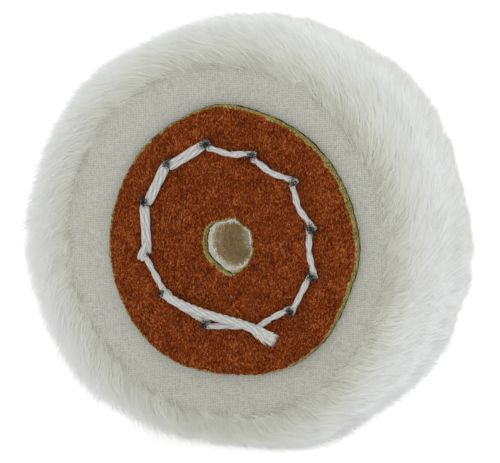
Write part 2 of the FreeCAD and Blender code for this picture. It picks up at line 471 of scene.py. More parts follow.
def lay_fibres(name, material, places, facing, half_width, tone, softness=0.75):
    """A piece of closed fibres. places holds the roots, middles and tips, facing the side that each fibre's
    flat shows and half_width its size at the root. tone is one value for each fibre, or three. softness is
    how far each fibre is shaded as part of the surface that all of them make together."""
    line = np.stack(places, axis=1)
    count = len(line)
    tone = np.broadcast_to(tone.reshape(count, -1), (count, 3))
    mesh, shape = fibre_row(name, count)
    level = np.clip(np.round((shape[:, 2] + 0.5) * 2).astype(int), 0, 2)
    along = np.stack([line[:, 1] - line[:, 0], line[:, 2] - line[:, 0], line[:, 2] - line[:, 1]], axis=1)
    along = normalised(along)
    up = facing[:, None, :] - (facing[:, None, :] * along).sum(-1, keepdims=True) * along
    up = normalised(up)
    side = np.cross(up, along)
    size = np.stack([half_width, half_width, half_width * 0.0], axis=1)
    ring = normalised(shape[:, :2])
    ring[level == 2] = 0
    points = (line[:, level] + size[:, level, None] * (ring[None, :, :1] * side[:, level]
                                                      + ring[None, :, 1:] * FIBRE_FLATNESS * up[:, level]))
    set_points(mesh, points.reshape(-1, 3))
    set_attribute(mesh, "tone", tone[:, level].ravel())
    piece = piece_of(mesh, name, material)
    own = normalised(points - line[:, level])
    own[:, level == 2] = along[:, 2:3]
    shared = normalised(softness * facing[:, None, :] + (1 - softness) * own)
    mesh.normals_split_custom_set_from_vertices(shared.reshape(-1, 3))
    return piece


def on_face(angle, radius, y):
    """Points at those angles (radians), radii and heights along the axis."""
    angle, radius, y = np.broadcast_arrays(angle, radius, y)
    return np.stack([radius * np.cos(angle), y, radius * np.sin(angle)], axis=-1)


# ---------------------------------------------------------------- the fluffy rim

rim_ripple = Ripple(11, (9, 13, 17, 23, 31), across=0.6)


def outline(angle):
    """How far the fluff's outline stands out of a true circle at an angle, in metres."""
    return 0.18 * MM * rim_ripple(angle) + bulges(np.degrees(angle) % 360, OUTLINE_BULGES)


def fluff_surface(turn, angle, lift=0.0):
    """The fluff's outer surface. turn goes from -90 at the front edge over the crown to 90 at the rear."""
    turn = np.clip(np.radians(turn), -math.pi / 2, math.pi / 2)
    power = 2 / FLUFF_SQUARENESS
    across = np.cos(turn) ** power
    out = np.sign(np.sin(turn)) * np.abs(np.sin(turn)) ** power
    depth = RIM_REACH - WEAVE_RADIUS + outline(angle) * np.minimum(1.0, across * 1.6)
    radius = WEAVE_RADIUS + depth * across
    normal_r, normal_y = np.cos(turn), np.sin(turn)
    return on_face(angle, radius + lift * normal_r, FLUFF_HALF * out + lift * normal_y)


def ply_turns():
    """The turn at which each ply's fluff reaches the surface, evenly spaced along the rounded rim."""
    turns = np.linspace(-LAST_TURN, LAST_TURN, 721)
    line = fluff_surface(turns, np.zeros(len(turns)))
    along = np.concatenate([[0], np.cumsum(np.linalg.norm(np.diff(line, axis=0), axis=1))])
    middles = (np.arange(len(PLIES)) + 0.5) / len(PLIES) * along[-1]
    return np.interp(middles, along, turns), along[-1]


PLY_TURNS, RIM_ARC = ply_turns()


def shoulder(index):
    """0 for a ply whose fluff ends on the crown, 1 for one near the front or the rear."""
    return np.clip((abs(PLY_TURNS[index]) - 35) / 30, 0, 1)


def woven_radius(index):
    """Where a ply stops being woven: further out in the middle of the stack than at its faces."""
    return max(WEAVE_RADIUS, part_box(PLIES[index])[1].x - FRAY_DEPTH - 4 * MM * shoulder(index))


def weave_edge(index, angle):
    """The edge of a ply's woven part by angle. On the outermost plies it lies a little off the middle."""
    return woven_radius(index) - WEAVE_SHIFT * shoulder(index) * np.cos(angle)


lean_ripple = Ripple(21, (5, 8, 13, 19, 29, 41), across=2.2)
lift_ripple = Ripple(22, (11, 17, 26, 37, 53), across=3.0)
swell_ripple = Ripple(24, (7, 10, 15, 21, 28), across=1.8)
tone_ripple = Ripple(23, (7, 12, 19, 33, 47, 71), across=3.0)


class Locks:
    """Places on the rim that nearby fibres lean together towards."""

    def __init__(self, seed, count):
        source = rng(seed)
        self.angle = source.uniform(0, FULL_TURN, count)
        self.turn = source.uniform(-LAST_TURN, LAST_TURN, count)
        self.pull = source.uniform(0.0, 0.4, count)
        self.lift = source.normal(0, 0.14, count) * MM
        self.tone = source.normal(0, 0.035, count)

    def nearest(self, angle, turn):
        """The number of the lock that each (angle, turn) is nearest to."""
        around, over = 0.7 * RIM_RADIUS, RIM_ARC / 180       # locks are longer round the wheel than across
        found = np.zeros(len(angle), int)
        batch = 400
        for start in range(0, len(angle), batch):
            part = slice(start, start + batch)
            d_angle = (self.angle[None] - angle[part, None] + math.pi) % FULL_TURN - math.pi
            d_turn = self.turn[None] - turn[part, None]
            found[part] = ((d_angle * around) ** 2 + (d_turn * over) ** 2).argmin(axis=1)
        return found


LOCKS_OF_RIM = Locks(31, LOCKS)


def fringe(index, material):
    """The frayed edge of one ply: fibres that stand out of the cloth and lean anticlockwise in locks."""
    source = rng(1000 + index)
    count = FIBRES_PER_PLY
    turn = PLY_TURNS[index]
    y = STACK_FRONT + (index + 0.5) * PLY_PITCH
    angle = (np.arange(count) + source.uniform(-0.5, 0.5, count)) / count * FULL_TURN
    slope = min(1.0, abs(turn) / 72) ** 1.5           # 0 on the crown, 1 at the front and rear edges
    inward = -np.sign(turn) if turn else 1.0
    tip_turn = turn + source.normal(0, 2.5, count) + inward * slope * source.uniform(0, 22, count)
    tip_turn = np.clip(tip_turn, -LAST_TURN - 3, LAST_TURN + 3)
    lean = CROWN_LEAN + (FACE_LEAN - CROWN_LEAN) * slope
    lean = lean * (1 + 0.19 * lean_ripple(angle, tip_turn / 40)) * source.uniform(0.75, 1.2, count)
    tip_angle = angle + lean / RIM_RADIUS
    lock = LOCKS_OF_RIM.nearest(tip_angle % FULL_TURN, tip_turn)
    pull = LOCKS_OF_RIM.pull[lock]
    gap = (LOCKS_OF_RIM.angle[lock] - tip_angle + math.pi) % FULL_TURN - math.pi
    tip_angle = tip_angle + gap * pull
    tip_turn = tip_turn + (LOCKS_OF_RIM.turn[lock] - tip_turn) * pull
    wispy = 0.42 + 0.72 * (1 - np.cos(angle - 0.7)) / 2      # the fluff is wispier at the left
    proud = np.minimum(source.gamma(1.3, 1.1, count), 4.0) * wispy
    uneven = 0.12 * lift_ripple(tip_angle, tip_turn / 30) + 0.15 * swell_ripple(tip_angle, tip_turn / 35)
    dip = 0.3 * bell(tip_turn, 22, 14)                # a shallow valley behind the crown
    lift = LOCKS_OF_RIM.lift[lock] + (uneven - dip + proud - 0.2 - wispy) * MM
    root_radius = weave_edge(index, angle) + source.uniform(-0.9, 0.1, count) * MM
    root = on_face(angle, root_radius, y + source.uniform(-0.1, 0.1, count) * MM)
    knee = fluff_surface(turn + 0.5 * (tip_turn - turn), angle + 0.42 * (tip_angle - angle), lift - 0.8 * MM)
    tip = fluff_surface(tip_turn, tip_angle, lift)
    middle = 0.25 * root + 0.5 * knee + 0.25 * tip
    line = np.stack([root, middle, tip], axis=1)
    above = (line[:, :, 2] - FLOOR_LEVEL - source.uniform(0.0, 0.4, (count, 1)) * MM) / SOFT_LANDING
    line[:, :, 2] += SOFT_LANDING * (np.logaddexp(0, above) - above)
    facing = normalised(fluff_surface(tip_turn, tip_angle, MM) - fluff_surface(tip_turn, tip_angle))
    facing = normalised(facing + source.normal(0, 0.12, (count, 3)))
    width = FIBRE_WIDTH * source.uniform(0.6, 1.3, count) / (1 + 0.9 * proud)
    # Each lock's and fibre's own tone; the painted light below is added to it.
    tone_and_painted_light = LOCKS_OF_RIM.tone[lock] + 0.035 * tone_ripple(tip_angle, tip_turn / 25)
    tone_and_painted_light = tone_and_painted_light + source.normal(0, 0.05, count)
    # Painted highlight along the crown's front and at the lower right, painted shade behind it and at the
    # upper right.
    degrees = np.degrees(angle)
    tone_and_painted_light = tone_and_painted_light + 0.09 * bell(tip_turn, -14, 8) - 0.06 * bell(tip_turn, 18, 14)
    tone_and_painted_light = tone_and_painted_light + 0.10 * bell(degrees, 320, 24) - 0.06 * bell(degrees, 62, 40)
    out = np.clip((np.hypot(line[:, :, 0], line[:, :, 2]) - 41 * MM) / (9 * MM), 0, 1) ** 0.8
    bottom = 0.30 - 0.05 * slope + 0.30 * (1 - slope) ** 2    # painted shade between the fibres, least on the crown
    tone = np.clip(bottom + (0.84 - bottom) * out + tone_and_painted_light[:, None], 0, 1)
    places = line.transpose(1, 0, 2)
    return lay_fibres(f"fringe_{index + 1:02d}", material, places, facing, width, tone)


def hem_fuzz(side, material, count=8500):
    """Short fibres that lie on the outermost ply's face, where its cloth turns into fluff."""
    source = rng(95 + side)
    angle = source.uniform(0, FULL_TURN, count)
    index = 0 if side < 0 else len(PLIES) - 1
    inward = 0.5 + 1.1 * np.maximum(0, np.cos(angle))
    start = weave_edge(index, angle) + np.minimum(source.normal(-inward, 0.9, count), 0.9) * MM
    y = side * (abs(STACK_FRONT) - 0.02 * MM)
    lean = source.uniform(1.4, 4.6, count) * (1 + 0.3 * lean_ripple(angle, 2.0 * side)) * MM / WEAVE_RADIUS
    reach = source.uniform(0.8, 3.4, count) * MM
    rise = side * (reach * source.uniform(0.05, 0.32, count) + 0.04 * MM)
    root = on_face(angle, start, y)
    middle = on_face(angle + 0.45 * lean, start + 0.5 * reach, y + 0.35 * rise)
    tip = on_face(angle + lean, start + reach, y + rise)
    facing = np.tile((0.0, float(side), 0.0), (count, 1)) + source.normal(0, 0.15, (count, 3))
    light = source.normal(0.22, 0.07, count) + 0.07 * tone_ripple(angle, 1.5 * side)
    tone = np.clip(light[:, None] + np.array([-0.10, 0.04, 0.20]), 0, 1)
    return lay_fibres(f"hem_fuzz_{FACE_NAME[side]}", material, [root, middle, tip], normalised(facing),
                      source.uniform(0.025, 0.055, count) * MM, tone, softness=0.9)


def woven_round(index, material):
    """The woven part of one ply, from the spindle hole out to where it frays."""
    shown = index in (0, len(PLIES) - 1)
    segments, rings = (240, 40) if shown else (72, 4)
    radius = woven_radius(index) + 0.5 * MM
    bm = bmesh.new()
    bmesh.ops.create_circle(bm, cap_ends=False, segments=segments, radius=BORE_RADIUS)
    edge = bm.edges[:]
    for step in range(1, rings + 1):
        out = bmesh.ops.extrude_edge_only(bm, edges=edge)["geom"]
        edge = [g for g in out if isinstance(g, bmesh.types.BMEdge)]
        verts = [g for g in out if isinstance(g, bmesh.types.BMVert)]
        size = BORE_RADIUS + (radius - BORE_RADIUS) * step / rings
        for v in verts:
            v.co = v.co.normalized() * size
    bmesh.ops.rotate(bm, verts=bm.verts, cent=(0, 0, 0), matrix=Matrix.Rotation(math.pi / 2, 3, "X"))
    y = STACK_FRONT + (index + 0.5) * PLY_PITCH
    holes = [b for b in bm.faces if in_stitch_hole(b.calc_center_median())]
    bmesh.ops.delete(bm, geom=holes, context="FACES")
    bmesh.ops.recalc_face_normals(bm, faces=bm.faces)
    bmesh.ops.translate(bm, verts=bm.verts, vec=(0, y, 0))
    bmesh.ops.solidify(bm, geom=bm.faces[:], thickness=PLY_THICKNESS)
    piece = piece_from(bm, f"woven_{PLIES[index]}", material, smooth=shown)
    points = points_of(piece.data)
    around = np.arctan2(points[:, 2], points[:, 0])
    share = (np.hypot(points[:, 0], points[:, 2]) - BORE_RADIUS) / (radius - BORE_RADIUS)
    shift = (weave_edge(index, around) - woven_radius(index)) * np.clip((share - 0.7) / 0.3, 0, 1)
    points += shift[:, None] * on_face(around, 1.0, 0.0)
    points[:, 1] += y - (points[:, 1].min() + points[:, 1].max()) / 2
    if shown:
        pucker(points, -1 if index == 0 else 1)
    set_points(piece.data, points)
    return piece


def in_stitch_hole(point):
    """Whether a point of a ply's plane lies in one of the slots that the twine runs through."""
    for angle, radius in STITCH_HOLES:
        a = math.radians(angle)
        away = Vector((point.x, 0, point.z)) - Vector((math.cos(a), 0, math.sin(a))) * radius * MM
        if away.length < SLOT_RADIUS:
            return True
    return False


def pucker(points, side):
    """The outermost plies' cloth dips and ripples a little between the leather and the fluff."""
    radius = np.hypot(points[:, 0], points[:, 2])
    angle = np.arctan2(points[:, 2], points[:, 0])
    free = np.clip((radius - 29 * MM) / (6 * MM), 0, 1)
    ripples = Ripple(41 + side, (6, 11, 17, 26, 38), across=1.5)
    points[:, 1] += side * free * (0.16 * ripples(angle, radius / (6 * MM)) - 0.1) * MM


def cloth_plies(fluff):
    """Every ply: its woven part and its frayed edge, and the hem fuzz on the outermost two."""
    weave = weave_material()
    for index, node in enumerate(PLIES):
        woven = woven_round(index, weave)
        edge = fringe(index, fluff)
        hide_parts(node)
        if index in (0, len(PLIES) - 1):
            hem_fuzz(-1 if index == 0 else 1, fluff)


# ---------------------------------------------------------------- leather discs

def cad_outline(node):
    """A function from angle to the radius of a leather disc's edge, read off its CAD node."""
    co = points_of(frame["nodes"][node].data)
    radius, angle = np.hypot(co[:, 0], co[:, 2]), np.arctan2(co[:, 2], co[:, 0])
    edge = radius > 28 * MM
    order = np.argsort(angle[edge])
    angles, radii = angle[edge][order], radius[edge][order]
    return lambda a: np.interp(a, angles, radii, period=FULL_TURN)


def near_stitches(x, z):
    """How far points are from the ring of stitches and from the nearest stitch hole."""
    angles, radii = np.radians([a for a, _ in STITCH_HOLES]), np.array([r for _, r in STITCH_HOLES]) * MM
    ends = np.stack([radii * np.cos(angles), radii * np.sin(angles)], axis=1)
    spots = np.stack([x, z], axis=-1)
    to_line = np.full(len(x), 1.0)
    for start, end in zip(ends, np.roll(ends, -1, axis=0)):
        run = end - start
        share = np.clip(((spots - start) @ run) / (run @ run), 0, 1)
        to_line = np.minimum(to_line, np.linalg.norm(spots - start - share[:, None] * run, axis=1))
    to_hole = np.min([np.linalg.norm(spots - end, axis=1) for end in ends], axis=0)
    return to_line, to_hole


def hole_radius(angle, side):
    """The radius of a leather disc's spindle hole."""
    turned = 0 if side < 0 else REAR_HOLE_TURN
    return BORE_RADIUS - 0.05 * MM + bulges(np.degrees(angle) - turned, HOLE_NICKS)


def leather_disc(node, side, material, seed):
    """One suede disc: a section spun round the axis, cut ragged and pulled in at the stitches."""
    back = abs(STACK_FRONT)
    outer = cad_outline(node)
    thickness = LEATHER_FACE - back
    # The section goes up the hole's wall, out over the face and down the cut edge, from 0 at the hole to 1.
    wall = [(0.0, h) for h in np.linspace(0, 0.86, 5)]
    face = [(0.5 - 0.5 * math.cos(math.pi * k / 62), 1.0) for k in range(3, 60)]
    cut = [(1.0, h) for h in np.linspace(0.9, 0, 8)]
    bm = bmesh.new()
    verts = [bm.verts.new((1 + s, 0, h)) for s, h in wall + face + cut]
    edges = [bm.edges.new(pair) for pair in zip(verts, verts[1:] + verts[:1])]
    bmesh.ops.spin(bm, geom=verts + edges, cent=(0, 0, 0), axis=(0, 0, 1), angle=FULL_TURN, steps=380,
                   use_merge=True)
    bmesh.ops.remove_doubles(bm, verts=bm.verts, dist=1e-5)
    bmesh.ops.recalc_face_normals(bm, faces=bm.faces)
    piece = piece_from(bm, node + "_suede", material)
    co = points_of(piece.data)
    share, height = np.hypot(co[:, 0], co[:, 1]) - 1, co[:, 2]
    angle = np.arctan2(co[:, 1], co[:, 0])
    ragged = Ripple(seed, (23, 37, 59, 83, 121), across=2.0)
    hole_ragged = Ripple(seed + 1, (3, 5, 8, 13, 21), across=1.0)
    r_in = hole_radius(angle, side) + 0.1 * MM * hole_ragged(angle, height)
    lip = np.clip((0.72 - height) / 0.2, 0, 1) * np.clip(0.6 + 0.8 * np.sin(angle + 0.2), 0.1, 1)
    r_out = outer(angle) + (0.08 * ragged(angle, height * 2) + 0.3 * lip) * MM
    radius = r_in + (r_out - r_in) * np.clip(share, 0, 1)
    x, z = radius * np.cos(angle), radius * np.sin(angle)
    to_line, to_hole = near_stitches(x, z)
    top = height >= 0.99
    sink = 0.45 * bell(to_line, 0, 1.5 * MM) + 0.75 * bell(to_hole, 0, 1.3 * MM)
    sink += 0.25 * np.clip(1 - np.abs(np.hypot(x, z) - 21 * MM) / (5 * MM), 0, 1)
    waves = Ripple(seed + 2, (4, 7, 11, 16), across=1.2)
    grain = Ripple(seed + 3, (61, 97, 139, 181, 157), across=60)
    bulge = 0.12 * waves(angle, radius / (5 * MM)) + 0.045 * grain(angle, radius / (10 * MM))
    near_edge = bell(share, 1, 0.04) + bell(share, 0, 0.04)
    level = back + thickness * height + top * (bulge - sink - 0.12 * near_edge) * MM
    set_points(piece.data, np.stack([x, side * level, z], axis=1))
    if side > 0:
        piece.data.flip_normals()
    torn = Ripple(seed + 4, (9, 21, 34, 55, 89, 144), across=4.0)
    rim_band = (r_out - radius) < (0.24 - 0.12 * np.cos(angle) + 0.15 * torn(angle, height)) * MM
    hole_band = (radius - r_in) < (0.42 + 0.15 * torn(angle, 3 + height)) * MM
    set_attribute(piece.data, "cut", np.where(rim_band | hole_band | (height < 0.9), 1.0, 0.0))
    # Painted shade at the foot of the cut edge, taller at the left, and at the foot of the spindle hole's
    # wall.
    shaded = np.where(share > 0.5, height < 0.42 - 0.22 * np.cos(angle), (height < 0.35) & (share < 0.001))
    set_attribute(piece.data, "painted_edge_shade", np.where(shaded, 1.0, 0.0))
    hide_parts(node)
    return piece


# ---------------------------------------------------------------- twine

def smooth_line(points, name):
    """The smooth line that a cord's listed points give: a NURBS curve's own points."""
    curve = bpy.data.curves.new(name, "CURVE")
    curve.dimensions = "3D"
    curve.resolution_u = 24
    spline = curve.splines.new("NURBS")
    spline.points.add(len(points) - 1)
    for knot, point in zip(spline.points, points):
        knot.co = (*point, 1)
    spline.order_u = 3
    spline.use_endpoint_u = True
    obj = bpy.data.objects.new(name, curve)
    mesh = bpy.data.meshes.new_from_object(obj)
    line = points_of(mesh)
    bpy.data.objects.remove(obj)
    bpy.data.meshes.remove(mesh)
    bpy.data.curves.remove(curve)
    return line


def even_line(line, step):
    """The line again with points a step apart."""
    along = np.concatenate([[0], np.cumsum(np.linalg.norm(np.diff(line, axis=0), axis=1))])
    at = np.linspace(0, along[-1], max(3, int(round(along[-1] / step)) + 1))
    return np.stack([np.interp(at, along, line[:, k]) for k in range(3)], axis=1), at


def gap_of(point):
    """The gap between stitch holes that a place lies in, by the hole it starts from."""
    angle = math.degrees(math.atan2(point[2], point[0]))
    for gap, (start, _) in enumerate(STITCH_HOLES):
        end = STITCH_HOLES[(gap + 1) % len(STITCH_HOLES)][0]
        if (angle - end) % 360 < (start - end) % 360:
            return gap
    return 0


def stitch_route():
    """The corners of the sewing: round once over and under, and back again through the same holes."""
    count = len(STITCH_HOLES)

    def passage(hole, outer, y):
        angle, radius = STITCH_HOLES[hole % count]
        r = radius * MM + (PASSAGE_OFFSET if outer else -PASSAGE_OFFSET)
        return Vector(on_face(math.radians(angle), r, y))

    front, back = -TWINE_LEVEL, TWINE_LEVEL
    route = [passage(TAIL_HOLE, False, front + START_DEPTH)]
    level = front
    for step in range(count):
        here = TAIL_HOLE + step
        route += [passage(here, level == back, level), passage(here + 1, level == front, level)]
        level = -level
    route[-1] = passage(TAIL_HOLE, True, back)
    level = front
    for step in range(count):
        here = TAIL_HOLE + count - step
        route += [passage(here, level == front, level), passage(here - 1, level == back, level)]
        level = -level
    x, y, z = (c * MM for c in SEWING_END)
    route[-1] = Vector((x, back, z))
    route.append(Vector((x, y, z)))
    return route


def with_soft_corners(route, reach):
    """The route with a point before and after each corner, so that its curve turns only there, and with a bow
    in the stitches that sag towards the middle."""
    points = [route[0]]
    for before, corner, after in zip(route, route[1:], route[2:]):
        points += [corner + (before - corner).normalized() * reach, corner,
                   corner + (after - corner).normalized() * reach]
        middle = (corner + after) / 2
        bow = BOWS.get(gap_of(middle), 0.0) * MM
        if bow and abs(corner.y - after.y) < 1 * MM and middle.y < 0:
            points.append(middle - Vector((middle.x, 0, middle.z)).normalized() * bow)
    return points + [route[-1]]


def strand_tube(bm, uv, line, at, radius, sides=9):
    """Adds one strand: a grid rolled up round a line, with its UV going once round and in metres along."""
    made = bmesh.ops.create_grid(bm, x_segments=len(line) - 1, y_segments=sides, size=1, calc_uvs=True)
    verts = made["verts"]
    tangent = normalised(np.gradient(line, axis=0))
    side = normalised(np.cross(tangent, (0.3, 1.0, 0.2)))
    up = np.cross(tangent, side)
    for v in verts:
        i = int(round((v.co.x + 1) / 2 * (len(line) - 1)))
        a = (v.co.y + 1) * math.pi
        for loop in v.link_loops:
            loop[uv].uv = ((v.co.y + 1) / 2, at[i])
        v.co = line[i] + (math.cos(a) * side[i] + math.sin(a) * up[i]) * radius[i]
    bmesh.ops.remove_doubles(bm, verts=verts, dist=1e-7)
    bmesh.ops.holes_fill(bm, edges=[e for e in bm.edges if e.is_boundary], sides=sides)


def twisted(name, material, line, at, strands, spread, radius, angle, plane):
    """Strands wound round a line. spread, radius and angle are given at each point of the line, and plane is
    the direction that angle 0 points in."""
    bm = bmesh.new()
    uv = bm.loops.layers.uv.new("strand")
    tangent = normalised(np.gradient(line, axis=0))
    first = normalised(plane - (plane * tangent).sum(1, keepdims=True) * tangent)
    second = np.cross(tangent, first)
    for k in range(strands):
        turn = angle + FULL_TURN * k / strands
        offset = (np.cos(turn)[:, None] * first + np.sin(turn)[:, None] * second) * spread[:, None]
        strand_tube(bm, uv, line + offset, at, radius)
    bmesh.ops.recalc_face_normals(bm, faces=bm.faces)
    return piece_from(bm, name, material)


def sewn_twine(material, hair_material):
    """The twine as sewn, twisted from two strands that lie open and flat over a few of the front gaps."""
    route = stitch_route()
    line, at = even_line(smooth_line(with_soft_corners(route, 1.7 * MM), "sewing"), 0.4 * MM)
    tangent = normalised(np.gradient(line, axis=0))
    outward = np.zeros_like(line)
    outward[:, 1] = np.sign(line[:, 1])
    flat = np.cross(tangent, outward)
    weak = np.linalg.norm(flat, axis=1) < 0.3
    radial = normalised(np.stack([line[:, 0], np.zeros(len(line)), line[:, 2]], axis=1))
    flat = np.where(weak[:, None], radial, flat)
    # Each stitch keeps its strands side by side at its ends, and turns them over between.
    corners = np.array([tuple(p) for p in route])
    runs = np.linalg.norm(np.diff(corners, axis=0), axis=1)
    turns, opened = [0.0], [0.0]
    for start, end, run in zip(corners, corners[1:], runs):
        across = abs(end[1] - start[1]) < 1 * MM
        middle = (start + end) / 2
        is_open = across and middle[1] < 0 and gap_of(middle) in OPEN_GAPS
        half_turns = 0 if is_open or not across else max(1, round(run / STITCH_TWIST))
        turns.append(turns[-1] + math.pi * half_turns)
        opened.append(1.0 if is_open else 0.0)
    knots = np.concatenate([[0], np.cumsum(runs)]) * at[-1] / runs.sum()
    twist = np.interp(at, knots, turns)
    wide = np.array(opened)[np.clip(np.searchsorted(knots, at), 0, len(opened) - 1)]
    wide = np.convolve(np.pad(wide, 4, mode="edge"), np.ones(9) / 9, mode="valid")
    slack = 1 + 0.08 * np.sin(at * 900) + 0.05 * np.sin(at * 2100 + 1)
    size = (0.51 + 0.12 * wide) * slack * MM
    spread = (0.22 + 0.32 * wide) * MM
    piece = twisted("sewn_twine", material, line, at, 2, spread, size, twist, flat)
    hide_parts("stitching_twine")
    twine_hairs("stitch_hairs", hair_material, line, 2600, 0.75 * MM, 92)


def twine_hairs(name, material, line, count, radius, seed):
    """Short loose hairs along a twine, where it lies outside the wheel."""
    source = rng(seed)
    tangent = normalised(np.gradient(line, axis=0))
    outside = np.flatnonzero(np.abs(line[:, 1]) > abs(STACK_FRONT) - 1.2 * MM)
    at = source.choice(outside, count)
    around = normalised(np.cross(tangent[at], source.normal(0, 1, (count, 3))))
    around[:, 1] = np.sign(line[at, 1]) * np.abs(around[:, 1])
    root = line[at] + around * radius * source.uniform(0.6, 1.0, (count, 1))
    run = tangent[at] * source.uniform(-1.1, 1.1, (count, 1)) * MM
    tip = root + run + around * source.uniform(0.05, 0.45, (count, 1)) * MM
    middle = root + 0.5 * run + around * source.uniform(0.0, 0.25, (count, 1)) * MM
    tone = np.clip(source.normal(0.3, 0.15, count), 0, 1)
    piece = lay_fibres(name, material, [root, middle, tip], around,
                       source.uniform(0.018, 0.036, count) * MM, tone, softness=0.6)
    return piece


def knot_stub(material):
    """The short end of twine at the flattened knot by the twelfth hole."""
    angle, radius = STITCH_HOLES[11]
    a = math.radians(angle)
    x, z = radius * math.cos(a), radius * math.sin(a)
    corners = [(x + 0.3, -12.7, z + 2.6), (x + 0.2, -13.6, z + 0.8), (x - 0.2, -13.8, z - 0.5),
               (x - 0.9, -13.3, z - 1.7)]
    line, at = even_line(smooth_line([Vector(p) * MM for p in corners], "stub"), 0.2 * MM)
    bulge = np.sin(np.clip(at / at[-1], 0, 1) * math.pi) ** 0.6
    plane = np.tile((1.0, 0.0, 0.0), (len(line), 1))
    spread = 0.42 * MM * np.ones(len(at))
    size = (0.35 + 0.3 * bulge) * MM
    piece = twisted("knot_stub", material, line, at, 2, spread, size, at / (9 * MM) * FULL_TURN, plane)


def loose_tail(material, fray_material):
    """The twine's loose end: three strands, lying over the stitches and frayed at the cut."""
    route = [Vector(p) * MM for p in TAIL_ROUTE]
    line, at = even_line(smooth_line(route, "tail"), 0.3 * MM)
    tangent = normalised(np.gradient(line, axis=0))
    plane = np.cross(tangent, np.array([0.0, 1.0, 0.0]))
    plane[np.linalg.norm(plane, axis=1) < 0.2] = (1.0, 0, 0)
    end = np.clip((at - at[-1] + 5 * MM) / (5 * MM), 0, 1)
    spread = (0.37 + 0.38 * end) * MM
    size = (0.67 - 0.12 * end) * MM
    piece = twisted("loose_tail", material, line, at, 3, spread, size, at / (5 * MM) * FULL_TURN, plane)
    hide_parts("twine_tail")
    hairs = twine_hairs("tail_hairs", fray_material, line[line[:, 1] < -13 * MM], 420, 0.9 * MM, 93)
    frayed_end(fray_material, line)


# ---------------------------------------------------------------- nap, lint and tufts

def clumps(where, seed):
    """A smooth random value over a disc's face, about -1 to 1, that makes neighbouring fibres look alike."""
    source = rng(seed + 300)
    waves = 30
    ways, widths = source.uniform(0, FULL_TURN, waves), source.uniform(0.8, 1.8, waves)
    phases = source.uniform(0, FULL_TURN, waves)
    total = np.zeros(len(where))
    for way, width, phase in zip(ways, widths, phases):
        run = where[:, 0] * math.cos(way) + where[:, 2] * math.sin(way)
        total += np.sin(FULL_TURN * run / (width * MM) + phase)
    return total / math.sqrt(waves / 2)


def suede_nap(node, side, material, seed, count=8500):
    """The short fibres that stand on a suede disc's face."""
    source = rng(seed)
    angle = source.uniform(0, FULL_TURN, count)
    low, high = hole_radius(angle, side) + 0.85 * MM, cad_outline(node)(angle) - 0.4 * MM
    radius = np.sqrt(source.uniform(0, 1, count) * (high ** 2 - low ** 2) + low ** 2)
    face = BVHTree.FromObject(bpy.data.objects[node + "_suede"], bpy.context.evaluated_depsgraph_get())
    where = on_face(angle, radius, 0.0)
    hits = [face.ray_cast(Vector((x, side * 0.1, z)), Vector((0, -side, 0)))[0] for x, _, z in where]
    where[:, 1] = side * (np.array([abs(hit.y) for hit in hits]) - 0.05 * MM)
    way = source.uniform(0, FULL_TURN, count)
    length = source.uniform(0.5, 1.3, count) * MM
    rise = side * source.uniform(0.05, 0.3, count) * MM
    step = np.stack([0.6 * np.cos(way) * length, rise, np.sin(way) * length], axis=1)
    bend = source.normal(0, 0.12, (count, 3)) * MM
    places = [where, where + 0.5 * step + bend * (1, 0.2, 1), where + step]
    facing = np.tile((0.0, side, 0.0), (count, 1)) + source.normal(0, 0.3, (count, 3))
    tone = np.clip(source.normal(0.46, 0.23, count) + 0.15 * clumps(where, seed), 0, 1)
    piece = lay_fibres(node + "_nap", material, places, normalised(facing),
                       source.uniform(0.05, 0.10, count) * MM, tone, softness=0.5)


def bore_lint(material, count=6000):
    """Loose fibres all round the inside of the spindle hole."""
    source = rng(71)
    angle = source.uniform(0, FULL_TURN, count)
    y = source.uniform(STACK_FRONT, STACK_REAR, count)
    at_mouth = source.uniform(0, 1, count) < 0.25
    y = np.where(at_mouth, np.sign(y) * (abs(STACK_FRONT) - source.uniform(-0.6, 1.4, count) * MM), y)
    root = on_face(angle, BORE_RADIUS + 0.1 * MM, y)
    deep = np.clip(y / (8 * MM), 0, 1)                # the far end is shaggier, and no light comes through
    reach = np.minimum(source.gamma(2.0, 0.2 + 0.45 * deep) + 0.2, 2.0 + 2.2 * deep) * MM
    sweep = source.normal(0.7, 1.5, count) * MM / BORE_RADIUS
    tip = on_face(angle + sweep, BORE_RADIUS - reach, y + source.normal(0, 0.5, count) * MM)
    middle = on_face(angle + 0.4 * sweep, BORE_RADIUS - 0.6 * reach, y)
    facing = normalised(-root * (1, 0, 1) + source.normal(0, 0.002, (count, 3)))
    # Painted shade: darker further in from a mouth, over 10 mm at the front and 1.5 mm at the rear.
    mouth = np.clip(1 - (abs(STACK_FRONT) - np.abs(y)) / (np.where(y < 0, 10, 1.5) * MM), 0, 1) ** 1.2
    bands = 0.10 * np.sin(y / (0.21 * MM)) + 0.14 * np.sin(y / (0.57 * MM) + 0.6 * np.sin(2 * angle))
    tone = np.clip(0.42 + 0.45 * mouth + bands + source.normal(0, 0.14, count), 0, 1)
    tone = tone[:, None] + np.array([-0.1, 0.0, 0.15])
    piece = lay_fibres("bore_lint", material, [root, middle, tip], facing,
                       source.uniform(0.04, 0.09, count) * MM, tone, softness=0.5)


